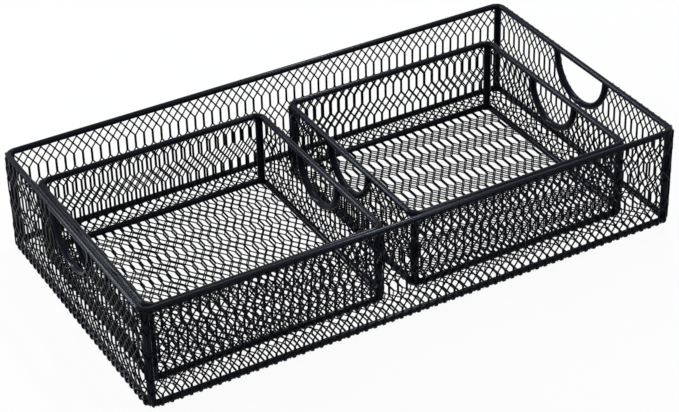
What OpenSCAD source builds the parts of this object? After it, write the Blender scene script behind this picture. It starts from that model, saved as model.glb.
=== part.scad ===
// Desk organizer of black coated wire mesh: one large tray that holds two equal
// square trays side by side. Millimetres, resting flat on z = 0, length along X.

/* [Large tray] */
// Length between the rod centres of the two ends
large_length = 450; // [436:1:470]
// Depth between the rod centres of the front and back
large_depth = 242; // [234:1:256]
// Height between the centres of the base rods and the rim rods
large_height = 80; // [72:1:95]

/* [Small trays] */
// Length and depth of each small tray between rod centres
small_side = 191; // [184:1:194]
// Height between the centres of the base rods and the rim rods
small_height = 61.5; // [55:0.5:70]
// Position of the left tray's centre along X
left_tray_x = -115.2; // [-117:0.1:-112]
// Position of the right tray's centre along X
right_tray_x = 103.7; // [100:0.1:112]

/* [Rods and mesh] */
// Diameter of every rod
rod_d = 5; // [4.6:0.1:5.4]
// Diameter of the corner posts
post_d = 6.2; // [5.6:0.1:6.6]
// Diameter of the rods of the finger loops
loop_d = 5.6; // [5.2:0.1:6]
// Radius of the rod bends at the corners, at the rod's centre
bend_r = 7; // [6.5:0.5:9]
// Thickness of the wire mesh
mesh_t = 1.2; // [1:0.1:1.5]

/* [Finger loops] */
// Radius of the large tray's finger loops, at the rod's centre
large_loop_r = 33.3; // [30:0.1:36]
// Radius of the small trays' finger loops, at the rod's centre
small_loop_r = 29.3; // [26:0.1:31]
// Depth of a loop's centre below the rim's centre
loop_drop = 1.5; // [1:0.1:2.5]

/* [Hidden] */
$fn = 32;
gap = 0.05;
left_tray_y = -0.4;
right_tray_y = 1.4;
base_rise = mesh_t + gap + rod_d / 2;
sheet_in = rod_d / 2 + gap;
sheet_out = sheet_in + mesh_t;
post_seat = 1.2;
black = [0.07, 0.07, 0.08];

// One rod bent into a closed rectangle with rounded corners, centred on its own plane
module ring(length, depth, d) {
  for (side = [-1, 1]) {
    translate([bend_r - length / 2, side * depth / 2, 0])
      rotate([0, 90, 0]) cylinder(h = length - 2 * bend_r, d = d);
    translate([side * length / 2, bend_r - depth / 2, 0])
      rotate([-90, 0, 0]) cylinder(h = depth - 2 * bend_r, d = d);
  }
  for (turn = [0 : 3]) {
    sx = (turn == 0 || turn == 3) ? 1 : -1;
    sy = turn < 2 ? 1 : -1;
    translate([sx * (length / 2 - bend_r), sy * (depth / 2 - bend_r), 0])
      rotate([0, 0, 90 * turn])
        rotate_extrude(angle = 90) translate([bend_r, 0]) circle(d = d);
  }
}

// Outline of a tray, grown outward from the rod centres by `grow`
module outline(length, depth, grow) {
  square([length + 2 * grow, depth - 2 * bend_r], center = true);
  square([length - 2 * bend_r, depth + 2 * grow], center = true);
  for (sx = [-1, 1], sy = [-1, 1])
    translate([sx * (length / 2 - bend_r), sy * (depth / 2 - bend_r)])
      circle(r = bend_r + grow);
}

// A corner post, shaped to sit on the base rod and under the rim rod
module post(length, depth, height, sx, sy) {
  reach = (bend_r + rod_d / 2 - post_d / 2) * sqrt(0.5) - bend_r;
  x = sx * (length / 2 + reach);
  y = sy * (depth / 2 + reach);
  turn = sx > 0 ? (sy > 0 ? 0 : 270) : (sy > 0 ? 90 : 180);
  difference() {
    translate([x, y, base_rise + post_seat]) cylinder(h = height - 2 * post_seat, d = post_d);
    for (z = [base_rise, base_rise + height])
      translate([sx * (length / 2 - bend_r), sy * (depth / 2 - bend_r), z])
        rotate([0, 0, turn - 10])
          rotate_extrude(angle = 110) translate([bend_r, 0]) circle(d = rod_d + 2 * gap);
  }
}

// A round finger loop hung under the rim in the middle of one end
module loop(length, depth, height, r, sx) {
  z = base_rise + height;
  difference() {
    translate([sx * (length + rod_d - loop_d) / 2, 0, z - loop_drop])
      rotate([90, 0, 90]) rotate([0, 0, 180 - 4])
        rotate_extrude(angle = 188, $fn = 64) translate([r, 0]) circle(d = loop_d);
    translate([sx * length / 2, -r - 10, z])
      rotate([-90, 0, 0]) cylinder(h = 2 * r + 20, d = rod_d + 2 * gap);
    translate([sx * length / 2 - 10, -r - 10, z])
      cube([20, 2 * r + 20, 20]);
  }
}

// The mesh band round the four walls, open inside the finger loops
module wall_mesh(length, depth, height, r) {
  z = base_rise + height;
  difference() {
    translate([0, 0, mesh_t]) linear_extrude(z - mesh_t) difference() {
      outline(length, depth, sheet_out);
      outline(length, depth, sheet_in);
    }
    translate([-length, 0, z - loop_drop])
      rotate([0, 90, 0]) cylinder(h = 2 * length, r = r, $fn = 64);
  }
}

module floor_mesh(length, depth) {
  linear_extrude(mesh_t) outline(length, depth, sheet_out);
}

// The large tray
module large_rim() {
  color(black) translate([0, 0, base_rise + large_height]) ring(large_length, large_depth, rod_d);
}
module large_base_frame() {
  color(black) translate([0, 0, base_rise]) ring(large_length, large_depth, rod_d);
}
module large_wall_mesh() {
  color(black) wall_mesh(large_length, large_depth, large_height, large_loop_r);
}
module large_floor_mesh() {
  color(black) floor_mesh(large_length, large_depth);
}
module large_post_front_left() {
  color(black) post(large_length, large_depth, large_height, -1, -1);
}
module large_post_front_right() {
  color(black) post(large_length, large_depth, large_height, 1, -1);
}
module large_post_back_left() {
  color(black) post(large_length, large_depth, large_height, -1, 1);
}
module large_post_back_right() {
  color(black) post(large_length, large_depth, large_height, 1, 1);
}
module large_loop_left() {
  color(black) loop(large_length, large_depth, large_height, large_loop_r, -1);
}
module large_loop_right() {
  color(black) loop(large_length, large_depth, large_height, large_loop_r, 1);
}

// Where the two small trays stand on the large tray's floor
module at_left() {
  color(black) translate([left_tray_x, left_tray_y, mesh_t]) children();
}
module at_right() {
  color(black) translate([right_tray_x, right_tray_y, mesh_t]) children();
}

// The left tray
module left_rim() {
  at_left() translate([0, 0, base_rise + small_height]) ring(small_side, small_side, rod_d);
}
module left_base_frame() {
  at_left() translate([0, 0, base_rise]) ring(small_side, small_side, rod_d);
}
module left_wall_mesh() {
  at_left() wall_mesh(small_side, small_side, small_height, small_loop_r);
}
module left_floor_mesh() {
  at_left() floor_mesh(small_side, small_side);
}
module left_post_front_left() {
  at_left() post(small_side, small_side, small_height, -1, -1);
}
module left_post_front_right() {
  at_left() post(small_side, small_side, small_height, 1, -1);
}
module left_post_back_left() {
  at_left() post(small_side, small_side, small_height, -1, 1);
}
module left_post_back_right() {
  at_left() post(small_side, small_side, small_height, 1, 1);
}
module left_loop_left() {
  at_left() loop(small_side, small_side, small_height, small_loop_r, -1);
}
module left_loop_right() {
  at_left() loop(small_side, small_side, small_height, small_loop_r, 1);
}

// The right tray
module right_rim() {
  at_right() translate([0, 0, base_rise + small_height]) ring(small_side, small_side, rod_d);
}
module right_base_frame() {
  at_right() translate([0, 0, base_rise]) ring(small_side, small_side, rod_d);
}
module right_wall_mesh() {
  at_right() wall_mesh(small_side, small_side, small_height, small_loop_r);
}
module right_floor_mesh() {
  at_right() floor_mesh(small_side, small_side);
}
module right_post_front_left() {
  at_right() post(small_side, small_side, small_height, -1, -1);
}
module right_post_front_right() {
  at_right() post(small_side, small_side, small_height, 1, -1);
}
module right_post_back_left() {
  at_right() post(small_side, small_side, small_height, -1, 1);
}
module right_post_back_right() {
  at_right() post(small_side, small_side, small_height, 1, 1);
}
module right_loop_left() {
  at_right() loop(small_side, small_side, small_height, small_loop_r, -1);
}
module right_loop_right() {
  at_right() loop(small_side, small_side, small_height, small_loop_r, 1);
}

large_rim();
large_base_frame();
large_wall_mesh();
large_floor_mesh();
large_post_front_left();
large_post_front_right();
large_post_back_left();
large_post_back_right();
large_loop_left();
large_loop_right();
left_rim();
left_base_frame();
left_wall_mesh();
left_floor_mesh();
left_post_front_left();
left_post_front_right();
left_post_back_left();
left_post_back_right();
left_loop_left();
left_loop_right();
right_rim();
right_base_frame();
right_wall_mesh();
right_floor_mesh();
right_post_front_left();
right_post_front_right();
right_post_back_left();
right_post_back_right();
right_loop_left();
right_loop_right();
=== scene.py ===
# %% [markdown]
# # A wire mesh desk organizer
# A large tray holds two equal square trays. Every tray has a frame of thick rods
# and a skin of thin wire mesh, and all of it is dipped in black powder coat.
# The frame, with the rods in it, comes from the part's own construction. This
# lesson adds what the construction leaves out: the real wires of the mesh.

import math

import bpy
from mathutils import Matrix, Vector


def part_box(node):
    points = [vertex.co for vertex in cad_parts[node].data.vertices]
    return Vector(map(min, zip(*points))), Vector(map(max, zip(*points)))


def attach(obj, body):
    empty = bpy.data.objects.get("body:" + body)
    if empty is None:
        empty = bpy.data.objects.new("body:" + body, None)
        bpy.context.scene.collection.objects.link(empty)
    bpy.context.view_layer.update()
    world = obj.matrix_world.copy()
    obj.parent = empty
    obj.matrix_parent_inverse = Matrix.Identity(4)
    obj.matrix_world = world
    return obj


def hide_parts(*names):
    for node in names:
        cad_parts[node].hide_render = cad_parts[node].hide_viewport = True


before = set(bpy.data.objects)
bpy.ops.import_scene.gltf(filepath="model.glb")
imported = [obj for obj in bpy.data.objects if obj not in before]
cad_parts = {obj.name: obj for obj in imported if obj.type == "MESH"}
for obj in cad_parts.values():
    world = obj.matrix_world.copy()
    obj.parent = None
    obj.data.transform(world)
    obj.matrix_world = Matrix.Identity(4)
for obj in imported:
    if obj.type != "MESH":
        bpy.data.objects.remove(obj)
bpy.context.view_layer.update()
scene = bpy.context.scene
MM = 0.001

# %% [markdown]
# ## Sizes
# Nothing is measured twice. The rods are already in the frame, so each tray's
# length, depth, rim height and finger loops are read from the boxes of its nodes.
# Only the mesh has sizes of its own. It is a net of zigzag wires: two wires run
# side by side in an upright bar, part in a Y, cross the wires of other bars
# twice, and meet new partners in a bar one and a half steps to the side.

# %% Mesh and tray sizes
BEND = 7 * MM  # radius of the rod bends at the corners, at the rod's centre
STEP = 7.55 * MM  # from one bar to the next along a wall
ROW = 4.75 * MM  # height of one row of slanting wires
BAR = 11.65 * MM  # length of a bar
REPEAT = 3 * ROW + BAR  # from one row of bars to the next, half a step aside
WIRE_R = {"wall": 0.62 * MM, "floor": 0.49 * MM}  # radius of one wire with its coat
SIDE = 0.4 * MM  # how far the two wires of a bar lie from its middle
WEAVE = 0.05 * MM  # how far a wire passes over or under the one it crosses
SKIN = 2.93 * MM  # from the rods' centres out to the middle of the mesh
RIM_END = 0.5 * MM  # height above the rim's centre at which the wires end
BEAD_IN = 0.2 * MM  # how far their welded ends lean in
FLOOR_MID = 0.6 * MM  # height of the floor mesh's middle above its underside
FLOOR_REACH = 0.4 * MM  # from the rods' centres out to the ends of the floor's wires
EDGE_LIFT = 0.1 * MM  # how far those ends turn up against the rod
EDGE_WIDTH = 0.2 * MM  # how near the outline a point counts as an end
CLEAR = 0.02 * MM  # air under the lowest wires of the walls
WRAP = (0, 0.5, 0.8)  # bends round the base rod, this much of SKIN below its centre


def tray_sizes(tray):
    """Sizes of one tray, from the rods of the frame."""
    low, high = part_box(f"{tray}_rim")
    loop_low, loop_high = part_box(f"{tray}_loop_left")
    rod = high.z - low.z
    loop_r = (loop_high.y - loop_low.y - rod) / 2
    return {
        "centre": ((low + high) / 2).to_2d(),
        "length": high.x - low.x - rod,
        "depth": high.y - low.y - rod,
        "rim_z": (low.z + high.z) / 2,
        "base_z": sum(corner.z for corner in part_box(f"{tray}_base_frame")) / 2,
        "floor_z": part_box(f"{tray}_floor_mesh")[0].z,
        "loop_r": loop_r,
        "loop_z": loop_low.z + rod / 2 + loop_r,
    }


trays = {tray: tray_sizes(tray) for tray in ("large", "left", "right")}
for tray, size in trays.items():
    print(tray, {k: round(v, 4) for k, v in size.items() if k != "centre"})

# %% [markdown]
# ## One wire
# A single wire is bent once and copied for the whole net. A point is extruded
# from bend to bend, as one draws a line by hand. The line is kept as bare edges
# until the net is finished, because edges are easy to array, wrap and trim, and
# only the last step gives them their thickness. Where two wires cross, three
# points lie close together so that the coat can swell there.

# %% Bend one wire
CROSS_HALF = 0.7 * MM  # half the length of the swelling at a crossing


def zigzag(top, bottom, first_joint):
    """Bends (across, up, out) of one wire from height top down to bottom."""
    bends = []
    level, side, joint = first_joint, 1, 0
    while level > bottom:
        x_bar = 1.5 * STEP * (joint % 2) + SIDE * side
        x_next = 1.5 * STEP * ((joint + 1) % 2) - SIDE * side
        bends.append((x_bar, level, 0))
        for row in (1, 2):
            over = WEAVE if (row + joint) % 2 else -WEAVE
            for shift in (-CROSS_HALF, 0, CROSS_HALF):
                part = row / 3 + shift / (3 * ROW)
                x_cross = x_bar + (x_next - x_bar) * part
                bends.append((x_cross, level - 3 * ROW * part, over))
        bends.append((x_next, level - 3 * ROW, 0))
        level, side, joint = level - REPEAT, -side, joint + 1
    bends.append((1.5 * STEP * (joint % 2) + SIDE * side, level, 0))
    return [Vector((SIDE, top, 0))] + [Vector(b) for b in bends]


def draw_line(name, bends):
    """A line of bare edges through the bends."""
    bpy.ops.object.select_all(action="DESELECT")
    bpy.ops.mesh.primitive_plane_add(size=MM, location=bends[0])
    line = bpy.context.object
    line.name = name
    bpy.ops.object.mode_set(mode="EDIT")
    bpy.ops.mesh.merge(type="CENTER")
    for here, there in zip(bends, bends[1:]):
        bpy.ops.mesh.extrude_vertices_move(TRANSFORM_OT_translate={"value": there - here})
    bpy.ops.object.mode_set(mode="OBJECT")
    bpy.ops.object.transform_apply(location=True, rotation=False, scale=False)
    return line


def apply_modifiers(piece):
    bpy.ops.object.select_all(action="DESELECT")
    piece.select_set(True)
    bpy.context.view_layer.objects.active = piece
    for modifier in list(piece.modifiers):
        bpy.ops.object.modifier_apply(modifier=modifier.name)


def net(name, top, bottom, first_joint, count, step):
    """A flat net in the XY plane: X across the bars, Y up along them, Z outwards."""
    line = draw_line(name, zigzag(top, bottom, first_joint))
    mirror = line.modifiers.new("other hand", "MIRROR")
    mirror.use_axis = (True, False, False)
    mirror.use_mirror_merge = False
    array = line.modifiers.new("along", "ARRAY")
    array.count = count
    array.use_relative_offset = False
    array.use_constant_offset = True
    array.constant_offset_displace = (step, 0, 0)
    apply_modifiers(line)
    return line


# %% [markdown]
# ## Wrapping the walls
# The skin of a tray's walls is one band of mesh, bent round the four corners.
# A curve modifier could do it, but the band has to close on itself with a whole
# number of bars, so a small function places each point: how far it is along the
# band says which wall or corner it is in.


# %% Wrap a flat net round a tray
def band_length(size):
    straight = 2 * (size["length"] + size["depth"] - 4 * BEND)
    return straight + 2 * math.pi * (BEND + SKIN)


def around(size, along, out):
    """(x, y) at a distance along the band, and out from the rods' centres."""
    sides = [size["length"] - 2 * BEND, size["depth"] - 2 * BEND]
    arc = math.pi / 2 * (BEND + SKIN)
    along %= band_length(size)
    for turn in range(4):
        run, other = sides[turn % 2], sides[(turn + 1) % 2]
        if along < run + arc:
            break
        along -= run + arc
    if along < run:
        point = Vector((along - run / 2, -other / 2 - BEND - out, 0))
    else:
        angle = (along - run) / (BEND + SKIN) - math.pi / 2
        point = Vector((math.cos(angle), math.sin(angle), 0)) * (BEND + out)
        point += Vector((run / 2, -other / 2, 0))
    return Matrix.Rotation(turn * math.pi / 2, 3, "Z") @ point


def wall_net(name, size, first_joint, shift):
    """Net for the walls. A bar of the first joint is at shift from the back wall's middle."""
    count = round(band_length(size) / STEP)
    rim, base = size["rim_z"], size["base_z"]
    lowest = size["floor_z"] + WIRE_R["wall"] + CLEAR
    step = band_length(size) / count
    flat = net(name, rim + REPEAT, lowest, rim - first_joint, count, step)
    bpy.ops.object.mode_set(mode="EDIT")
    bpy.ops.mesh.select_all(action="SELECT")
    bpy.ops.mesh.bisect(plane_co=(0, rim + RIM_END, 0), plane_no=(0, 1, 0), clear_outer=True)
    for part in WRAP:
        bpy.ops.mesh.select_all(action="SELECT")
        bpy.ops.mesh.bisect(plane_co=(0, base - SKIN * part, 0), plane_no=(0, -1, 0))
    bpy.ops.mesh.select_all(action="SELECT")
    bpy.ops.mesh.bisect(plane_co=(0, lowest, 0), plane_no=(0, -1, 0), clear_outer=True)
    bpy.ops.object.mode_set(mode="OBJECT")
    half_arcs = math.pi * (BEND + SKIN)
    back_middle = 1.5 * size["length"] + size["depth"] - 5 * BEND + half_arcs
    for vertex in flat.data.vertices:
        along, up, over = vertex.co
        under = max(base - up, 0)
        out = math.sqrt(max(SKIN**2 - under**2, 0)) + over
        if up > rim + RIM_END - BEAD_IN:
            out -= BEAD_IN
        x, y, _ = around(size, back_middle - shift + along, out)
        vertex.co = (x + size["centre"].x, y + size["centre"].y, up)
    return flat


# %% [markdown]
# ## Laying the floors
# The floor is a flat sheet of the same net with its bars from front to back,
# under the base rods. It is trimmed to the tray's outline by bisecting it with
# a plane along every side and two across every rounded corner, and its ends
# turn up a little against the rods.


# %% Lay and trim a floor net
def floor_net(name, size, stretch, first_joint, shift):
    half_x, half_y = size["length"] / 2 + FLOOR_REACH, size["depth"] / 2 + FLOOR_REACH
    columns = math.ceil(half_x / STEP) + 3
    top = half_y + REPEAT
    flat = net(name, top, -top, half_y + first_joint, 2 * columns + 1, STEP)
    bpy.ops.object.mode_set(mode="EDIT")
    bpy.ops.mesh.select_all(action="SELECT")
    bpy.ops.transform.translate(value=(shift - columns * STEP, 0, 0))
    bpy.ops.transform.resize(value=(stretch, 1, 1), center_override=(0, 0, 0))
    radius = BEND + FLOOR_REACH
    for angle in range(0, 360, 30):
        way = Vector((math.cos(math.radians(angle)), math.sin(math.radians(angle)), 0))
        corner_x = math.copysign(half_x - radius, way.x)
        corner = Vector((corner_x, math.copysign(half_y - radius, way.y), 0))
        bpy.ops.mesh.select_all(action="SELECT")
        bpy.ops.mesh.bisect(plane_co=corner + way * radius, plane_no=way, clear_outer=True)
    bpy.ops.object.mode_set(mode="OBJECT")
    for vertex in flat.data.vertices:
        x, y, over = vertex.co
        edge = max(abs(x) - half_x, abs(y) - half_y) > -EDGE_WIDTH
        up = size["floor_z"] + FLOOR_MID + over + (EDGE_LIFT if edge else 0)
        vertex.co = (x + size["centre"].x, y + size["centre"].y, up)
    return flat


# %% [markdown]
# ## Cutting out the finger loops
# At the two ends of a tray the net stops on a round rod, so that fingers can
# reach through. The edges near a loop are cut into short bits, the bits inside
# the loop are deleted, and the loose ends are pulled onto the rod.


# %% Trim the wall net to the loops
NEAR = 1 * MM  # edges this near a loop are cut into bits
BITS = 10
INSIDE = 0.3 * MM  # points this far inside a loop's rod centre are deleted
LOOSE = 1.3 * MM  # loose ends this near are pulled onto the rod
ONTO = (0.4 * MM, 0.5 * MM)  # how far they then lie behind the mesh and inside the rod's centre
FAR = 1  # stands for the distance of points on the other walls


def cut_loops(lines, size):
    mesh = lines.data
    for end in (-1, 1):
        end_x = size["centre"].x + end * size["length"] / 2
        middle = Vector((end_x, size["centre"].y, size["loop_z"]))

        def from_loop(point):
            if abs(point.x - middle.x) > 2 * SKIN:
                return FAR
            return math.hypot(point.y - middle.y, point.z - middle.z) - size["loop_r"]

        bpy.ops.object.mode_set(mode="EDIT")
        bpy.ops.mesh.select_mode(type="EDGE")
        bpy.ops.mesh.select_all(action="DESELECT")
        bpy.ops.object.mode_set(mode="OBJECT")
        for edge in mesh.edges:
            a, b = (mesh.vertices[i].co for i in edge.vertices)
            edge.select = min(from_loop(a), from_loop(b), from_loop((a + b) / 2)) < NEAR
        bpy.ops.object.mode_set(mode="EDIT")
        bpy.ops.mesh.subdivide(number_cuts=BITS - 1)
        bpy.ops.mesh.select_mode(type="VERT")
        bpy.ops.mesh.select_all(action="DESELECT")
        bpy.ops.object.mode_set(mode="OBJECT")
        for vertex in mesh.vertices:
            vertex.select = from_loop(vertex.co) < -INSIDE
        bpy.ops.object.mode_set(mode="EDIT")
        bpy.ops.mesh.delete(type="VERT")
        bpy.ops.object.mode_set(mode="OBJECT")
        uses = [0] * len(mesh.vertices)
        for edge in mesh.edges:
            for i in edge.vertices:
                uses[i] += 1
        for vertex in mesh.vertices:
            if uses[vertex.index] == 1 and from_loop(vertex.co) < LOOSE:
                spoke = (vertex.co - middle) * Vector((0, 1, 1))
                onto = middle + spoke.normalized() * (size["loop_r"] - ONTO[1])
                vertex.co = (vertex.co.x - end * ONTO[0], onto.y, onto.z)


# %% [markdown]
# ## From lines to wires
# The finished lines become a curve, whose bevel gives every line a round
# section, and the curve becomes a mesh again. Six sides are enough for a wire
# one millimetre thick that is repeated thousands of times. At a crossing the
# radius grows, because the powder fills the corners there, and at the rim every
# wire ends in a small bead of weld.

# %% Give the lines their thickness
SWELLING = 1.2  # how much thicker a wire is where it crosses another
BEAD = 1.5  # and where it ends at the rim
CROSS_NEAR = 0.1 * MM  # how near a crossing's height a point counts as its middle
MERGE = 0.001 * MM  # points this close become one


def to_wires(lines, radius, axis, first_joint, top=0):
    bpy.ops.object.select_all(action="DESELECT")
    lines.select_set(True)
    bpy.context.view_layer.objects.active = lines
    bpy.ops.object.convert(target="CURVE")
    curve = bpy.context.object.data
    for spline in curve.splines:
        for point in spline.points:
            below = (first_joint - point.co[axis]) % REPEAT
            if min(abs(below - ROW), abs(below - 2 * ROW)) < CROSS_NEAR:
                point.radius = SWELLING
        for point in (spline.points[0], spline.points[-1]):
            if axis == 2 and point.co.z > top - BEAD_IN:
                point.radius = BEAD
    curve.dimensions = "3D"
    curve.bevel_depth = radius
    curve.bevel_resolution = 1
    curve.use_fill_caps = True
    bpy.ops.object.convert(target="MESH")
    wires = bpy.context.object
    bpy.ops.object.mode_set(mode="EDIT")
    bpy.ops.mesh.select_all(action="SELECT")
    bpy.ops.mesh.remove_doubles(threshold=MERGE)
    bpy.ops.mesh.normals_make_consistent(inside=False)
    bpy.ops.object.mode_set(mode="OBJECT")
    bpy.ops.object.shade_smooth_by_angle(angle=math.radians(50))
    return wires


# %% [markdown]
# ## Finishes
# Everything is one powder coat: nearly black with a breath of blue, satin, with
# a fine orange peel. It is a little rougher on the wires, and darker there as
# painted shade on the mesh.


# %% Powder coat
SHEEN_LEVEL = 0.055  # low, so that a white room doesn't turn the coat grey
PEEL = 0.15  # strength of the orange peel


def powder_coat(name, dark, light, roughness):
    material = bpy.data.materials.new(name)
    material.use_nodes = True
    nodes, links = material.node_tree.nodes, material.node_tree.links
    shader = nodes["Principled BSDF"]
    place = nodes.new("ShaderNodeTexCoord")
    cloud = nodes.new("ShaderNodeTexNoise")
    cloud.inputs["Scale"].default_value = 60
    cloud.inputs["Detail"].default_value = 4
    tone = nodes.new("ShaderNodeMixRGB")
    tone.inputs["Color1"].default_value = (*dark, 1)
    tone.inputs["Color2"].default_value = (*light, 1)
    gloss = nodes.new("ShaderNodeMapRange")
    gloss.inputs["To Min"].default_value = roughness[0]
    gloss.inputs["To Max"].default_value = roughness[1]
    grain = nodes.new("ShaderNodeTexNoise")
    grain.inputs["Scale"].default_value = 1400
    grain.inputs["Detail"].default_value = 2
    bump = nodes.new("ShaderNodeBump")
    bump.inputs["Strength"].default_value = PEEL
    bump.inputs["Distance"].default_value = 0.05 * MM
    links.new(place.outputs["Object"], cloud.inputs["Vector"])
    links.new(place.outputs["Object"], grain.inputs["Vector"])
    links.new(cloud.outputs["Fac"], tone.inputs["Fac"])
    links.new(cloud.outputs["Fac"], gloss.inputs["Value"])
    links.new(grain.outputs["Fac"], bump.inputs["Height"])
    links.new(tone.outputs["Color"], shader.inputs["Base Color"])
    links.new(gloss.outputs["Result"], shader.inputs["Roughness"])
    links.new(bump.outputs["Normal"], shader.inputs["Normal"])
    shader.inputs["Specular IOR Level"].default_value = SHEEN_LEVEL
    shader.inputs["Specular Tint"].default_value = (0.7, 0.82, 1, 1)
    return material


rod_coat = powder_coat(
    "rod powder coat",
    dark=(0.006, 0.0067, 0.0105),
    light=(0.014, 0.0155, 0.0235),
    roughness=(0.12, 0.19),
)
# The wires get the same coat painted darker: the darker colour is painted shade on the mesh.
shaded_wire_coat = powder_coat(
    "wire powder coat, painted shade",
    dark=(0.002, 0.0023, 0.004),
    light=(0.006, 0.0068, 0.0115),
    roughness=(0.2, 0.3),
)

# %% [markdown]
# ## The mesh of every tray
# Every tray gets a band for its walls and a sheet for its floor, cut from the
# same net at a different place, as from a roll: WALL_FIRST and FLOOR_FIRST say
# where. Each piece stands for the plain plate that holds its place in the
# frame, and rides on that tray's body.

# %% Make and place the mesh
# How far the first row of joints lies below the rim, or beyond a floor's back
# edge, and how far a bar of that row is from the middle.
WALL_FIRST = {
    "large": (5.6 * MM, 1.0 * MM),
    "left": (-5.9 * MM, -0.2 * MM),
    "right": (-3.0 * MM, 0.0 * MM),
}
FLOOR_FIRST = {
    "large": (22.6 * MM, 5.05 * MM),
    "left": (15.6 * MM, 0.4 * MM),
    "right": (16.0 * MM, 1.3 * MM),
}
FLOOR_STRETCH = {"large": 1, "left": 0.985, "right": 1}  # the left sheet's bars lie closer


def settle(piece, tray, part):
    piece.data.materials.clear()
    piece.data.materials.append(shaded_wire_coat)
    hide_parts(f"{tray}_{part}_mesh")
    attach(piece, "large_tray" if tray == "large" else f"{tray}_tray")
    print(piece.name, sum(len(p.vertices) - 2 for p in piece.data.polygons), "triangles")


for tray, size in trays.items():
    walls = wall_net(f"{tray}_wall_wires", size, *WALL_FIRST[tray])
    cut_loops(walls, size)
    first_z = size["rim_z"] - WALL_FIRST[tray][0]
    walls = to_wires(walls, WIRE_R["wall"], 2, first_z, size["rim_z"] + RIM_END)
    stretch = FLOOR_STRETCH[tray]
    floor = floor_net(f"{tray}_floor_wires", size, stretch, *FLOOR_FIRST[tray])
    last_y = size["centre"].y + size["depth"] / 2 + FLOOR_REACH
    floor = to_wires(floor, WIRE_R["floor"], 1, last_y + FLOOR_FIRST[tray][0])
    settle(walls, tray, "wall")
    settle(floor, tray, "floor")

for name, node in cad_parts.items():
    if not name.endswith("mesh"):
        node.data.materials.clear()
        node.data.materials.append(rod_coat)

# %% [markdown]
# ## Floor, light and camera
# The tray stands on a white sweep. White in the camera and in reflections comes
# from the floor's and the world's own colour, and a part of the floor's shading
# is real, so that a soft shadow stays. A rod shows a lamp as a thin line, so the
# lamps are strips, each one turned square across the rods that it lights.

# %% Stage
STAGE_WHITE = 0.94  # how much of the floor's look is plain white
PAPER = 0.93
FLOOR_DROP = 0.4 * MM  # the floor lies this far below the object
ROOM_LIGHT = 0.1  # how much light the white room gives


def white_rays(nodes, links):
    """1 for rays from the camera, from gloss and through glass."""
    path = nodes.new("ShaderNodeLightPath")
    total = path.outputs["Is Camera Ray"]
    for ray in ("Is Glossy Ray", "Is Transmission Ray"):
        add = nodes.new("ShaderNodeMath")
        add.operation = "MAXIMUM"
        links.new(total, add.inputs[0])
        links.new(path.outputs[ray], add.inputs[1])
        total = add.outputs[0]
    return total


bpy.ops.object.select_all(action="DESELECT")
bpy.ops.mesh.primitive_plane_add(size=30, location=(0, 0, -FLOOR_DROP))
ground = bpy.context.object
ground.name = "ground"
paper = bpy.data.materials.new("white paper")
paper.use_nodes = True
nodes, links = paper.node_tree.nodes, paper.node_tree.links
nodes["Principled BSDF"].inputs["Base Color"].default_value = (PAPER, PAPER, PAPER, 1)
nodes["Principled BSDF"].inputs["Roughness"].default_value = 1
nodes["Principled BSDF"].inputs["Specular IOR Level"].default_value = 0
glow = nodes.new("ShaderNodeEmission")
mix = nodes.new("ShaderNodeMixShader")
share = nodes.new("ShaderNodeMath")
share.operation = "MULTIPLY"
share.inputs[1].default_value = STAGE_WHITE
links.new(white_rays(nodes, links), share.inputs[0])
links.new(share.outputs[0], mix.inputs[0])
links.new(nodes["Principled BSDF"].outputs[0], mix.inputs[1])
links.new(glow.outputs[0], mix.inputs[2])
links.new(mix.outputs[0], nodes["Material Output"].inputs["Surface"])
ground.data.materials.append(paper)

world = bpy.data.worlds.new("white room")
scene.world = world
world.use_nodes = True
nodes, links = world.node_tree.nodes, world.node_tree.links
strength = nodes.new("ShaderNodeMapRange")
strength.inputs["To Min"].default_value = ROOM_LIGHT
strength.inputs["To Max"].default_value = 1
links.new(white_rays(nodes, links), strength.inputs["Value"])
nodes["Background"].inputs["Color"].default_value = (1, 1, 1, 1)
links.new(strength.outputs["Result"], nodes["Background"].inputs["Strength"])


STRIP_WIDTH = 0.12


def strip_lamp(name, place, rods, length, watts):
    """A long narrow lamp that faces the organizer, square across the rods' direction."""
    bpy.ops.object.light_add(type="AREA", location=place)
    light = bpy.context.object
    light.name = name
    back = Vector(place).normalized()
    across = (Vector(rods) - back * back.dot(Vector(rods))).normalized()
    axes = Matrix((across, back.cross(across), back)).transposed()
    light.rotation_euler = axes.to_euler()
    light.data.shape = "RECTANGLE"
    light.data.size = STRIP_WIDTH
    light.data.size_y = length
    light.data.energy = watts
    light.data.color = (0.93, 0.97, 1)


strip_lamp("top strip", (0.85, 0.62, 1.8), (1, 0, 0), 0.9, 20)
strip_lamp("back strip", (-0.9, 1.5, 1.15), (0, 1, 0), 1.2, 16)
strip_lamp("front strip", (0.85, -1.05, 1.6), (1, 0, 0), 0.7, 6)
strip_lamp("left window", (-1.5, 1.25, 0.45), (0, 1, 0), 0.9, 30)

# %% [markdown]
# ## Camera
# A long lens from the front left, a third of a right angle above the desk, so
# that both the walls and the floors of the trays can be seen.

# %% Camera
bpy.ops.object.camera_add(location=(-0.6764, -1.2149, 0.9396))
camera = bpy.context.object
right = Vector((0.8684, -0.49525, -0.02468))
forward = Vector((0.40204, 0.73235, -0.54957))
up = right.cross(forward)
camera.rotation_euler = Matrix((right, up, -forward)).transposed().to_euler()
camera.data.sensor_width = 36
camera.data.lens = 113.1
camera.data.shift_x = 0.0124
camera.data.shift_y = 0.001
camera.data.clip_end = 50
scene.camera = camera
scene.view_settings.view_transform = "Standard"
